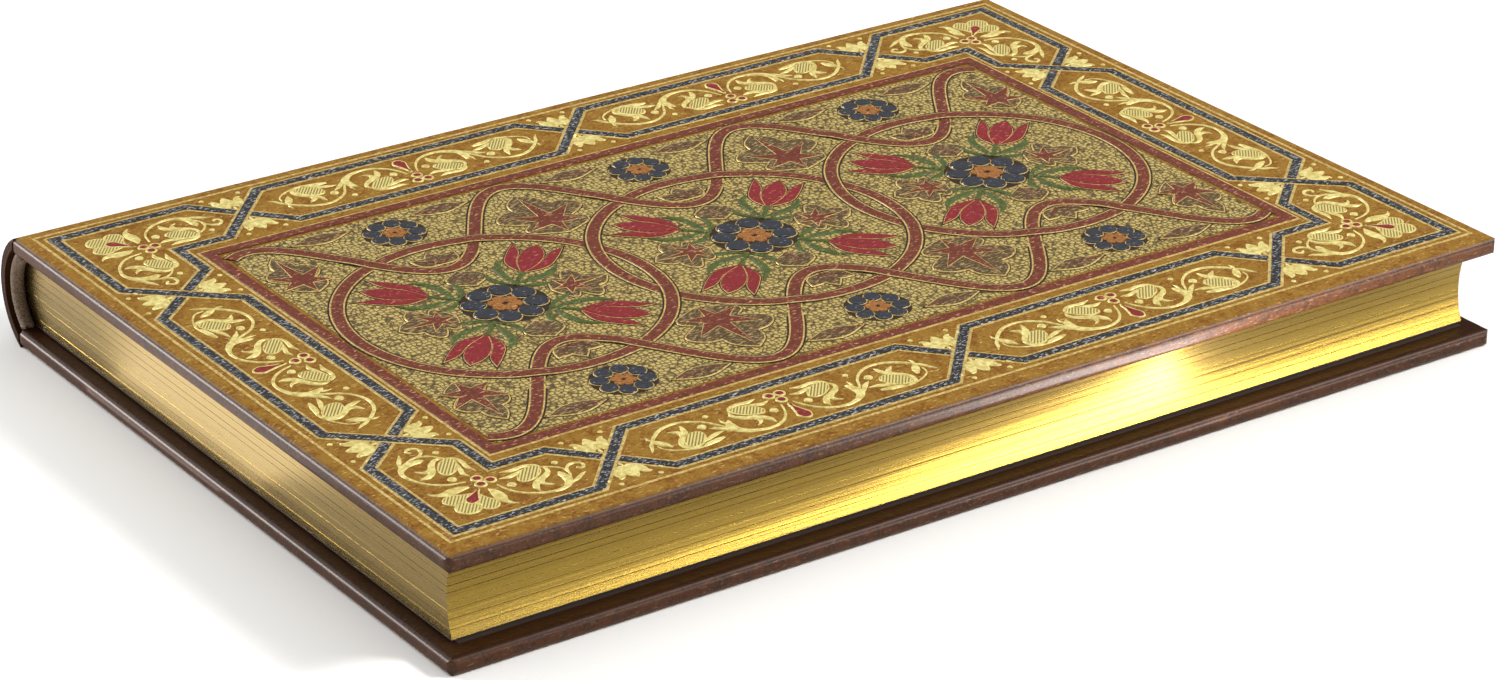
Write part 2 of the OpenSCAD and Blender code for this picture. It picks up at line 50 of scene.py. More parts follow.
# Shader sums: a Wire is one output socket, and arithmetic on it adds Math nodes
class Wire:
    def __init__(self, tree, socket=None):
        self.tree = tree
        self.socket = socket

    def make(self, kind, settings, values, out=0):
        node = self.tree.nodes.new(kind)
        for name, value in settings.items():
            if name == "stops":
                setStops(node.color_ramp, value)
            else:
                setattr(node, name, value)
        for name, value in values.items():
            if isinstance(value, Wire):
                self.tree.links.new(value.socket, node.inputs[name])
            else:
                node.inputs[name].default_value = value
        return Wire(self.tree, node.outputs[out])

    def __add__(self, other):
        return self.make("ShaderNodeMath", {"operation": "ADD"}, {0: self, 1: other})

    def __sub__(self, other):
        return self.make("ShaderNodeMath", {"operation": "SUBTRACT"}, {0: self, 1: other})

    def __rsub__(self, other):
        return self.make("ShaderNodeMath", {"operation": "SUBTRACT"}, {0: other, 1: self})

    def __mul__(self, other):
        return self.make("ShaderNodeMath", {"operation": "MULTIPLY"}, {0: self, 1: other})

    def __truediv__(self, other):
        return self.make("ShaderNodeMath", {"operation": "DIVIDE"}, {0: self, 1: other})

    def __abs__(self):
        return self.make("ShaderNodeMath", {"operation": "ABSOLUTE"}, {0: self})

    __radd__ = __add__
    __rmul__ = __mul__


def setStops(ramp, stops):
    while len(ramp.elements) > 1:
        ramp.elements.remove(ramp.elements[-1])
    for i, (at, colour) in enumerate(stops):
        stop = ramp.elements[0] if i == 0 else ramp.elements.new(at)
        stop.position = at
        stop.color = colour


def paint(red, green, blue):
    # a colour read off a screen, as the shader wants it
    return tuple(((c / 255 + 0.055) / 1.055) ** 2.4 for c in (red, green, blue)) + (1,)


def mixed(mask, a, b, blend="MIX"):
    return mask.make("ShaderNodeMix", {"data_type": "RGBA", "blend_type": blend}, {0: mask, 6: a, 7: b}, 2)


def noise(at, scale, detail=3, rough=0.55):
    values = {"Vector": at, "Scale": scale, "Detail": detail, "Roughness": rough}
    return at.make("ShaderNodeTexNoise", {}, values)


def cells(at, scale, feature="F1"):
    values = {"Vector": at, "Scale": scale, "Randomness": pebbles["uneven"]}
    return at.make("ShaderNodeTexVoronoi", {"feature": feature}, values)


def squeezed(at, x, y, z):
    return at.make("ShaderNodeMapping", {}, {"Vector": at, "Scale": (x, y, z)})


def between(value, low, high):
    values = {"Value": value, "From Min": low, "From Max": high}
    return value.make("ShaderNodeMapRange", {"clamp": True}, values)


def axis(at, which):
    return at.make("ShaderNodeSeparateXYZ", {}, {0: at}, which)


def sine(value):
    return value.make("ShaderNodeMath", {"operation": "SINE"}, {0: value})


def newMaterial(name, recipe, fixed):
    # recipe takes the place in millimetres and returns what varies; fixed is the same all over
    material = bpy.data.materials.new(name)
    material.use_nodes = True
    tree = material.node_tree
    shader = tree.nodes["Principled BSDF"]
    for socket, value in fixed.items():
        shader.inputs[socket].default_value = value
    place = Wire(tree).make("ShaderNodeTexCoord", {}, {}, "Object")
    at = place.make("ShaderNodeVectorMath", {"operation": "SCALE"}, {0: place, "Scale": 1000})
    varying = recipe(at)
    height, depth = varying.pop("relief", (None, 0))
    if height:
        varying["Normal"] = at.make("ShaderNodeBump", {}, {"Height": height, "Distance": depth * mm})
    for socket, wire in varying.items():
        tree.links.new(wire.socket, shader.inputs[socket])
    return material


grainTurn = math.radians(25)
grainStretch = (1, 0.3, 1)


def streaks(at, scale):
    # short slanting strokes of the embossed grain, brighter where the ink is worn
    values = {"Vector": at, "Rotation": (0, 0, grainTurn), "Scale": grainStretch}
    slanted = at.make("ShaderNodeMapping", {}, values)
    return noise(slanted, scale, 3, 0.6)


# Covering: leather-look paper, tan on its printed face and dark brown on its edges; its inner face is darker
# still, partly its own colour and partly painted shade of the gap beside the pages
leather = {
    "field": paint(140, 105, 44),
    "fieldDark": paint(112, 70, 26),
    "fieldFleck": paint(190, 160, 96),
    "edge": paint(70, 38, 13),
    "edgeDark": paint(44, 24, 9),
    "edgeFleck": paint(112, 82, 58),
    # the inner face's dark brown, partly its own colour and partly painted shade of the narrow gap beside the
    # pages
    "inside": paint(50, 27, 13),
    "grain": 2.6,  # lumps to a millimetre
    "relief": 0.2,
}


def leatherRecipe(face, down):
    # face is the height of the printed face, down is 1 if the sheet lies under it and -1 if over it
    def recipe(at):
        depth = (face - axis(at, 2)) * down
        grain = noise(at, leather["grain"], 4, 0.65)
        patch = noise(at, 0.5, 3, 0.6)
        worn = streaks(at, leather["grain"] * 1.6)
        dark = between(grain * 0.6 + patch * 0.4, 0.54, 0.4)
        fleck = between(worn, 0.6, 0.68)
        field = mixed(dark, leather["field"], leather["fieldDark"])
        field = mixed(fleck * 0.8, field, leather["fieldFleck"])
        edge = mixed(dark, leather["edge"], leather["edgeDark"])
        edge = mixed(fleck * 0.7, edge, leather["edgeFleck"])
        rim = between(depth + (grain - 0.5) * 0.3, 0.02, 0.3)
        colour = mixed(rim, field, edge)
        # the inner face takes the darker inside colour, partly painted shade
        turned = between(depth, 1.75, 2.05)
        colour = mixed(turned, colour, mixed(dark, leather["inside"], leather["edgeDark"]))
        return {
            "Base Color": colour,
            "Roughness": 0.38 + grain * 0.26 - fleck * 0.1 - rim * 0.06,
            "Coat Weight": 0.03 + rim * 0.25 * (1 - turned),
            "relief": ((grain * 0.6 + worn * 0.4) * (0.35 + rim * 0.65), leather["relief"]),
        }

    return recipe


# the covering's violet sheen
pearl = {
    "Coat Roughness": 0.35,
    "Coat IOR": 1.6,
    "Coat Tint": (0.94, 0.9, 1, 1),
    "Specular Tint": (0.96, 0.92, 1, 1),
    "Specular IOR Level": 0.03,
}


def foilRecipe(light, dark, scale, relief):
    def recipe(at):
        grain = noise(at, scale, 3)
        colour = mixed(between(grain, 0.35, 0.62), dark, light)
        return {"Base Color": colour, "Roughness": 0.3 + grain * 0.25, "relief": (grain, relief)}

    return recipe


pebbles = {
    "perMm": 1.65,
    "uneven": 0.6,
    "seam": paint(78, 58, 24),
    "dull": paint(180, 156, 82),
    "bright": paint(204, 184, 110),
    "relief": 0.14,
}


def pebbleRecipe(at):
    # beaten gold ground: small pebbles with dark seams
    at = at.make("ShaderNodeVectorMath", {"operation": "MULTIPLY"}, {0: at, 1: (1, 1, 0)})
    seam = cells(at, pebbles["perMm"], "DISTANCE_TO_EDGE")
    dome = cells(at, pebbles["perMm"])
    grime = noise(at, 0.35, 2)
    light = mixed(grime, pebbles["dull"], pebbles["bright"])
    colour = mixed(between(seam, 0.03, 0.2), pebbles["seam"], light)
    height = between(seam, 0, 0.3) * 0.6 + (1 - dome) * 0.4
    return {
        "Base Color": colour,
        "Roughness": 0.5 - between(seam, 0.1, 0.4) * 0.14,
        "relief": (height, pebbles["relief"]),
    }


def printRecipe(main, dark, fleckColour, scale, fleckFrom, relief=0.06):
    # printed and embossed shapes keep the grain of the sheet, with pale flecks where the ink is worn
    def recipe(at):
        grain = noise(at, scale, 4, 0.65)
        worn = streaks(at, scale * 1.5)
        colour = mixed(between(grain, 0.52, 0.36), main, dark)
        colour = mixed(between(worn, fleckFrom, fleckFrom + 0.05), colour, fleckColour)
        return {"Base Color": colour, "Roughness": 0.34 + grain * 0.3, "relief": (grain, relief)}

    return recipe


def hatchRecipe(light, dark, pitch, turn):
    # engraved hatching on the flowers
    def recipe(at):
        along = axis(at, 0) * math.cos(turn) + axis(at, 1) * math.sin(turn)
        wave = sine(along * (2 * math.pi / pitch))
        grain = noise(at, 2, 3)
        line = between(wave + grain - 0.5, -0.5, 0.3)
        return {
            "Base Color": mixed(line, dark, light),
            "Roughness": 0.3 + grain * 0.25,
            "relief": (line, 0.03),
        }

    return recipe


gilt = {
    "gold": paint(143, 116, 34),
    "deep": paint(123, 96, 26),
    # line: dark colour painted on the page edges as shade in the gaps between leaves
    "line": paint(72, 47, 18),
    "leaf": 9.0,  # leaves to a millimetre
}


def giltRecipe(at):
    # page edges: fine lines along the leaves; the dark lines, some only for part of their length, are painted
    # shade where leaves stand open
    leaves = noise(squeezed(at, 0.012, 0.012, gilt["leaf"]), 1, 2)
    sheets = noise(squeezed(at, 0.02, 0.02, 3.1), 1, 3, 0.6)
    cloud = noise(at, 0.09, 2)
    sparkle = noise(at, 7, 1)
    tone = mixed(between(leaves, 0.2, 0.55), gilt["deep"], gilt["gold"])
    # painted shade: dark lines where the leaves stand open
    tone = mixed(between(sheets + cloud * 0.5, 0.46, 0.38) * 0.8, tone, gilt["line"])
    return {
        "Base Color": tone,
        "Roughness": 0.2 + sparkle * 0.12,
        "relief": (leaves * 0.85 + sheets * 0.1 + sparkle * 0.05, 0.025),
    }


def paperRecipe(light, dark, relief):
    def recipe(at):
        fibre = noise(squeezed(at, 1, 0.5, 1), 1.6, 5, 0.7)
        cloud = noise(at, 0.06, 2)
        return {
            "Base Color": mixed(between(fibre * 0.6 + cloud * 0.4, 0.35, 0.65), dark, light),
            "Roughness": 0.7 + fibre * 0.25,
            "relief": (fibre, relief),
        }

    return recipe


def weaveRecipe(light, dark, threads):
    def recipe(at):
        across = sine(axis(at, 1) * (threads * 2 * math.pi))
        along = sine(axis(at, 2) * (threads * 2 * math.pi))
        mesh = between(across * along, -0.3, 0.6)
        return {"Base Color": mixed(mesh, dark, light), "Roughness": 0.8 + mesh * 0.1, "relief": (mesh, 0.05)}

    return recipe


def cordRecipe(light, dark):
    def recipe(at):
        twist = noise(squeezed(at, 2, 2, 2), 2.4, 3, 0.7)
        return {
            "Base Color": mixed(between(twist, 0.38, 0.6), dark, light),
            "Roughness": 0.7 + twist * 0.2,
            "relief": (twist, 0.08),
        }

    return recipe


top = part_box("front_covering")[1].z / mm
satin = {"Specular IOR Level": 0.25}
foil = {"Metallic": 0.2}
# each finish: its recipe, and the values that are the same all over
recipes = {
    "frontLeather": (leatherRecipe(top, 1), pearl),
    "backLeather": (leatherRecipe(0, -1), pearl),
    "spineLeather": (leatherRecipe(top + 1.2, 1), pearl),
    "giltPages": (giltRecipe, {"Metallic": 1.0, "Coat Weight": 0.5, "Coat Roughness": 0.38}),
    "endpaper": (paperRecipe(paint(46, 32, 26), paint(32, 22, 18), 0.01), {}),
    "kraft": (paperRecipe(paint(176, 138, 92), paint(140, 104, 64), 0.03), {}),
    "greyboard": (paperRecipe(paint(160, 154, 146), paint(120, 114, 106), 0.06), {}),
    "gauze": (weaveRecipe(paint(222, 214, 192), paint(150, 136, 108), 1.1), {}),
    "braid": (cordRecipe(paint(116, 94, 70), paint(62, 48, 36)), {"Sheen Weight": 0.1}),
    "goldLine": (foilRecipe(paint(222, 196, 122), paint(172, 138, 70), 2.4, 0.04), {"Metallic": 0.4}),
    "goldScroll": (foilRecipe(paint(226, 214, 140), paint(190, 168, 88), 1.8, 0.05), foil),
    "goldHatch": (hatchRecipe(paint(214, 200, 124), paint(138, 116, 56), 0.34, 0.9), foil),
    "goldGround": (pebbleRecipe, foil),
    "navy": (printRecipe(paint(38, 38, 40), paint(20, 20, 23), paint(166, 164, 164), 3.4, 0.56, 0.1), satin),
    "madder": (printRecipe(paint(104, 46, 28), paint(72, 30, 19), paint(184, 136, 104), 2.8, 0.6), satin),
    "shadow": (printRecipe(paint(46, 30, 15), paint(26, 16, 9), paint(84, 58, 34), 3, 0.66), satin),
    "olive": (printRecipe(paint(84, 64, 36), paint(52, 38, 22), paint(156, 134, 90), 2.8, 0.54, 0.12), satin),
    "green": (printRecipe(paint(76, 88, 38), paint(44, 54, 24), paint(146, 150, 92), 2.6, 0.62), satin),
    "blue": (
        printRecipe(paint(34, 38, 48), paint(16, 18, 26), paint(140, 146, 160), 2.8, 0.64, 0.04),
        {"Coat Weight": 0.5, "Coat Roughness": 0.2, **satin},
    ),
    "red": (printRecipe(paint(126, 30, 34), paint(92, 20, 24), paint(190, 110, 98), 2.6, 0.62, 0.05), satin),
    "tan": (printRecipe(paint(148, 96, 44), paint(104, 62, 26), paint(204, 158, 98), 2.6, 0.64, 0.05), satin),
}
finishes = {name: newMaterial(name, *parts) for name, parts in recipes.items()}
print("journal: finishes mixed")


# Pieces
def finishPiece(name, bm, finish, body, replaced=(), turn=None, smooth=35):
    # bm is in millimetres; the finished mesh sits where the object is, in metres
    bmesh.ops.transform(bm, matrix=Matrix.Scale(mm, 4) @ (turn or Matrix()), verts=bm.verts)
    mesh = bpy.data.meshes.new(name)
    bm.to_mesh(mesh)
    bm.free()
    mesh.materials.append(finishes[finish])
    mesh.shade_smooth()
    mesh.set_sharp_from_angle(angle=math.radians(smooth))
    piece = bpy.data.objects.new(name, mesh)
    bpy.context.scene.collection.objects.link(piece)
    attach(piece, body)
    if replaced:
        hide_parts(*replaced)


def cadCopy(node):
    # a merged copy of a CAD node's mesh, in millimetres
    bm = bmesh.new()
    bm.from_mesh(nodes[node].data)
    bmesh.ops.transform(bm, matrix=Matrix.Scale(1 / mm, 4), verts=bm.verts)
    bmesh.ops.remove_doubles(bm, verts=bm.verts, dist=0.0005)
    bmesh.ops.dissolve_limit(bm, angle_limit=0.01, verts=bm.verts, edges=bm.edges)
    return bm


def roundTop(bm, width):
    # rounds the upper rim of an embossed plate
    rim = max(v.co.z for v in bm.verts)
    edges = [
        e
        for e in bm.edges
        if all(v.co.z > rim - 0.001 for v in e.verts) and len(e.link_faces) == 2 and e.calc_face_angle() > 1
    ]
    bmesh.ops.bevel(
        bm, geom=edges, offset=width, affect="EDGES", segments=2, profile=0.5, material=-1, clamp_overlap=True
    )


def dress(node, finish):
    mesh = nodes[node].data
    mesh.materials.clear()
    mesh.materials.append(finishes[finish])


for node, finish in {
    "front_covering": "frontLeather",
    "back_covering": "backLeather",
    "spine_covering": "spineLeather",
    "front_board": "greyboard",
    "back_board": "greyboard",
    "spine_inlay": "greyboard",
    "front_pastedown": "endpaper",
    "back_pastedown": "endpaper",
    "front_flyleaf": "endpaper",
    "back_flyleaf": "endpaper",
    "mull": "gauze",
    "spine_lining": "kraft",
}.items():
    dress(node, finish)

# The round of the spine, worked out from its covering and the front hinge
spineLow, spineHigh = (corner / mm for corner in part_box("spine_covering"))
hingeX = spineHigh.x
midZ = (spineLow.z + spineHigh.z) / 2
bulge = hingeX - spineLow.x
spineRadius = ((spineHigh.z - midZ) ** 2 + bulge**2) / (2 * bulge)
spineX = spineLow.x + spineRadius

block = {
    "gatherings": 9,
    "groove": 0.1,  # depth of the step between two gatherings
    "grooveHalf": 0.03,
    "hollow": 0.8,  # depth of the hollow fore-edge
    "ripple": 0.012,  # how far single leaves stand out
    "leaves": 5,  # steps in a gathering
    "wander": 0.12,  # how unevenly thick the gatherings are, as a share of one
    "endShare": 0.8,  # steps at head and tail, as a share of those at the fore-edge
    "seed": 4,
}


def makeTextBlock():
    low, high = (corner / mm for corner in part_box("text_block"))
    size = high - low
    bm = bmesh.new()
    bmesh.ops.create_cube(bm, size=1)
    bmesh.ops.scale(bm, vec=size, verts=bm.verts)
    bmesh.ops.translate(bm, vec=(low + high) / 2, verts=bm.verts)
    pitch = size.z / block["gatherings"]
    depths = {round(low.z, 4): 0, round(high.z, 4): 0}
    dice = random.Random(block["seed"])
    for k in range(block["gatherings"]):
        for leaf in range(block["leaves"]):
            z = low.z + pitch * (k + (leaf + 0.5) / block["leaves"])
            depths[round(z, 4)] = dice.uniform(0, block["ripple"])
        if k:
            z = low.z + pitch * k + dice.uniform(-block["wander"], block["wander"]) * pitch
            depths[round(z, 4)] = block["groove"] * dice.uniform(0.5, 1)
            depths[round(z - block["grooveHalf"], 4)] = 0
            depths[round(z + block["grooveHalf"], 4)] = 0
    for z in sorted(depths):
        everything = bm.verts[:] + bm.edges[:] + bm.faces[:]
        bmesh.ops.bisect_plane(bm, geom=everything, plane_co=(0, 0, z), plane_no=(0, 0, 1), dist=1e-6)
    pagesRadius = spineX - low.x
    chord = size.z / 2
    foreRadius = (chord**2 + block["hollow"] ** 2) / (2 * block["hollow"])
    for v in bm.verts:
        deep = depths[min(depths, key=lambda z: abs(z - v.co.z))]
        h = v.co.z - midZ
        if v.co.x > 0:
            hollow = math.sqrt(foreRadius**2 - h**2) - (foreRadius - block["hollow"])
            v.co.x = high.x - max(0, hollow) - deep
        else:
            v.co.x = spineX - math.sqrt(pagesRadius**2 - h**2)
        v.co.y -= math.copysign(deep * block["endShare"], v.co.y)
    finishPiece("textBlock", bm, "giltPages", "book_block", ["text_block"], smooth=12)


makeTextBlock()
print("journal: pages trimmed and gilded")

# End bands: cords plaited round a core, on a tape glued to the pages
endBand = {
    "bead": 0.8,  # radius of the bead
    "strands": 5,
    "strand": 0.36,  # radius of a strand
    "turns": 5,  # turns of a strand along the bead
    "arc": 50,  # degrees each way round the spine
    "steps": 120,  # points along a strand
    "core": 0.55,  # radius of the core, as a share of the bead's
    "coreSteps": 40,
    "tape": 6,  # length of the tape on the pages
    "tapeArc": 44,
    "tapeIn": 0.12,  # the tape's depth under the bead's outer side
}


def tube(points, radius):
    # a round cord along a line of points, closed at its ends
    curve = bpy.data.curves.new("cord", "CURVE")
    curve.dimensions = "3D"
    curve.bevel_depth = radius
    curve.bevel_resolution = 2
    curve.use_fill_caps = True
    spline = curve.splines.new("POLY")
    spline.points.add(len(points) - 1)
    for point, at in zip(spline.points, points):
        point.co = (*at, 1)
    return meshOf(curve)


def meshOf(curve):
    holder = bpy.data.objects.new("drawing", curve)
    bpy.context.scene.collection.objects.link(holder)
    bpy.context.view_layer.update()
    mesh = bpy.data.meshes.new_from_object(holder.evaluated_get(bpy.context.evaluated_depsgraph_get()))
    bpy.data.objects.remove(holder)
    bpy.data.curves.remove(curve)
    return mesh


def makeEndBand(name, node, side):
    low, high = (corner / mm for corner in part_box(node))
    outer = high.y if side > 0 else low.y
    beadY = outer - side * endBand["bead"]
    beadRadius = spineX - low.x - endBand["bead"]
    bm = bmesh.new()
    off = endBand["bead"] - endBand["strand"]
    for k in range(endBand["strands"]):
        line = []
        for i in range(endBand["steps"] + 1):
            share = i / endBand["steps"]
            angle = math.radians(endBand["arc"] * (2 * share - 1))
            twist = 2 * math.pi * (k / endBand["strands"] + endBand["turns"] * share)
            r = beadRadius + off * math.cos(twist)
            y = beadY + off * math.sin(twist)
            line.append((spineX - r * math.cos(angle), y, midZ + r * math.sin(angle)))
        bm.from_mesh(tube(line, endBand["strand"]))
    core = []
    for i in range(endBand["coreSteps"] + 1):
        angle = math.radians(endBand["arc"] * (2 * i / endBand["coreSteps"] - 1))
        core.append((spineX - beadRadius * math.cos(angle), beadY, midZ + beadRadius * math.sin(angle)))
    bm.from_mesh(tube(core, endBand["bead"] * endBand["core"]))
    # the tape, spun round the spine's centre
    tapeRadius = spineX - low.x - endBand["tapeIn"]
    first = bm.verts.new((spineX - tapeRadius, beadY, midZ))
    last = bm.verts.new((spineX - tapeRadius, beadY - side * endBand["tape"], midZ))
    edge = bm.edges.new((first, last))
    centre = (spineX, 0, midZ)
    turn = math.radians(endBand["tapeArc"])
    start = Matrix.Rotation(turn, 4, "Y")
    bmesh.ops.rotate(bm, cent=centre, matrix=start, verts=[first, last])
    bmesh.ops.spin(bm, geom=[first, last, edge], cent=centre, axis=(0, 1, 0), angle=-2 * turn, steps=24)
    finishPiece(name, bm, "braid", "book_block", [node])


makeEndBand("headBraid", "headband", 1)
makeEndBand("tailBraid", "tailband", -1)
print("journal: end bands plaited")

# Drawing kit. A stroke is a list of (x, y, half width); a shape is a closed outline with bevelled rim
relief = {"line": 0.1, "fill": 0.14, "sunk": -0.012}


def addSpline(curve, points, closed, sharp):
    spline = curve.splines.new("BEZIER")
    spline.bezier_points.add(len(points) - 1)
    for knot, point in zip(spline.bezier_points, points):
        knot.co = (point[0], point[1], 0)
        knot.radius = point[2] if len(point) > 2 else 1
    spline.use_cyclic_u = closed
    for i, knot in enumerate(spline.bezier_points):
        kind = "VECTOR" if i in sharp else "AUTO"
        knot.handle_left_type = kind
        knot.handle_right_type = kind


def flatten(mesh, high):
    for v in mesh.vertices:
        v.co.z = high * math.tanh(v.co.z / high) if v.co.z > 0 else relief["sunk"]
    return mesh


def strokes(lines, high=relief["line"], closed=False, sharp=()):
    curve = bpy.data.curves.new("strokes", "CURVE")
    curve.dimensions = "3D"
    curve.resolution_u = 4
    curve.bevel_depth = 1
    curve.bevel_resolution = 2
    curve.use_fill_caps = True
    curve.twist_mode = "Z_UP"
    for line in lines:
        addSpline(curve, line, closed, sharp)
    return flatten(meshOf(curve), high)


def shapes(outlines, rim, high=relief["fill"], grow=0, sharp=()):
    curve = bpy.data.curves.new("shapes", "CURVE")
    curve.dimensions = "2D"
    curve.fill_mode = "BOTH"
    curve.resolution_u = 4
    curve.bevel_depth = rim
    curve.bevel_resolution = 2
    curve.offset = grow - rim
    for outline in outlines:
        addSpline(curve, outline, True, sharp)
    return flatten(meshOf(curve), high)


def ring(x, y, radius, width):
    # a small circle in four points
    quarters = (0, math.pi / 2, math.pi, -math.pi / 2)
    return [(x + radius * math.cos(a), y + radius * math.sin(a), width) for a in quarters]


def place(x, y, turn=0, flip=False, size=1):
    matrix = Matrix.Translation((x, y, 0)) @ Matrix.Rotation(math.radians(turn), 4, "Z")
    matrix = matrix @ Matrix.Diagonal((size, -size if flip else size, 1, 1))
    return matrix


def stamped(mesh, matrices, bm=None):
    # the same drawing at many places in one bmesh
    bm = bm or bmesh.new()
    for matrix in matrices:
        verts, faces = len(bm.verts), len(bm.faces)
        bm.from_mesh(mesh)
        bm.verts.ensure_lookup_table()
        bm.faces.ensure_lookup_table()
        bmesh.ops.transform(bm, matrix=matrix, verts=bm.verts[verts:])
        if matrix.determinant() < 0:
            bmesh.ops.reverse_faces(bm, faces=bm.faces[faces:])
    return bm


strapLow, strapHigh = (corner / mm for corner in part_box("border_straps"))
groundLow, groundHigh = (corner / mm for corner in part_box("panel_ground"))
panelLow, panelHigh = (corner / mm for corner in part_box("panel_laces"))
border = {
    "strap": 1.1,  # width of a dark strap
    "band": 11.5,  # width over both straps
    "knotIn": 22.2,  # first knot from the corner
    "longKnots": 3,
    "shortKnots": 2,
}
borderX = (strapHigh.x - strapLow.x - border["strap"]) / 2
borderY = (strapHigh.y - strapLow.y - border["strap"]) / 2
midBand = (border["band"] - border["strap"]) / 2
knotInset = border["knotIn"] - border["strap"] / 2
longPitch = 2 * (borderY - knotInset) / (border["longKnots"] - 1)
shortPitch = 2 * (borderX - knotInset) / (border["shortKnots"] - 1)
face = Matrix.Translation(((strapLow.x + strapHigh.x) / 2, 0, top))
onFoil = Matrix.Translation(((strapLow.x + strapHigh.x) / 2, 0, groundHigh.z))


def alongSides(onLong, onShort):
    # places with the border running along +X and the panel on the +Y side
    found = []
    for half in (0, 180):
        turn = place(0, 0, half)
        for k in range(onLong):
            found.append(turn @ place(borderX - midBand, (k - (onLong - 1) / 2) * longPitch, 90))
        for k in range(onShort):
            found.append(turn @ place((k - (onShort - 1) / 2) * shortPitch, midBand - borderY))
    return found


flipX = Matrix.Diagonal((-1, 1, 1, 1))
flipY = Matrix.Diagonal((1, -1, 1, 1))
fourWays = [Matrix(), flipX, flipY, flipX @ flipY]
knotPlaces = alongSides(border["longKnots"], border["shortKnots"])
cellPlaces = alongSides(border["longKnots"] - 1, border["shortKnots"] - 1)
cellHalves = [m @ side for m in cellPlaces for side in (Matrix(), flipX)]
cornerPlaces = [m @ place(borderX - midBand, borderY - midBand) for m in fourWays]
armPlaces = [m @ turn for m in cornerPlaces for turn in (place(0, 0, 180), place(0, 0, -90, True))]

# Straps and their gold lines: the CAD plates with rounded rims
for name, node, finish, slot, width in (
    ("borderStraps", "border_straps", "navy", "dark_blue_print", 0.07),
    ("borderLines", "border_gilding", "goldLine", "gold_foil", 0.03),
):
    plate = cadCopy(node)
    roundTop(plate, width)
    finishPiece(name, plate, finish, "front_cover", [node])

# Gold scrolls: stems, curling leaves and tulips with a hatched cup. A point is (along the border
# from the cell's middle, inwards, half width)
tulips = {
    "first": {
        "cup": (4.55, 1.25, 3.7, 1.9, 35),  # middle, length, width, turn
        "petals": [
            [(6.35, 2.1, 0.12), (5.8, 2.8, 0.22), (4.8, 3.05, 0.26), (3.4, 2.9, 0.3), (2.2, 3.2, 0.05)],
            [(4.4, 2.4, 0.1), (3.3, 2.0, 0.3), (2.3, 1.75, 0.28), (1.4, 2.0, 0.05)],
            [
                (6.35, 2.0, 0.12), (6.65, 1.2, 0.22), (6.0, 0.2, 0.36), (5.0, -0.45, 0.4), (4.65, -1.2, 0.32),
                (5.0, -1.85, 0.18), (5.5, -2.1, 0.04),
            ],
            [(4.8, -0.1, 0.12), (4.1, -0.9, 0.38), (3.6, -1.7, 0.38), (3.5, -2.6, 0.05)],
        ],
    },
    "second": {
        "cup": (12.85, -1.35, 3.5, 2.1, -46),
        "petals": [
            [
                (13.1, -3.25, 0.14), (14.3, -2.9, 0.24), (14.75, -1.9, 0.26), (14.2, -0.8, 0.34),
                (13.4, 0.1, 0.38), (13.5, 0.9, 0.36), (14.0, 1.3, 0.22), (14.4, 1.6, 0.05),
            ],
            [(13.0, -0.1, 0.12), (12.8, 0.7, 0.36), (12.6, 1.4, 0.28), (12.45, 2.2, 0.05)],
            [(13.1, -3.3, 0.12), (12.2, -2.95, 0.34), (11.2, -2.75, 0.4), (10.0, -2.55, 0.16)],
            [(12.3, -2.3, 0.12), (11.4, -1.9, 0.28), (10.4, -1.5, 0.3), (9.3, -1.3, 0.05)],
        ],
    },
}
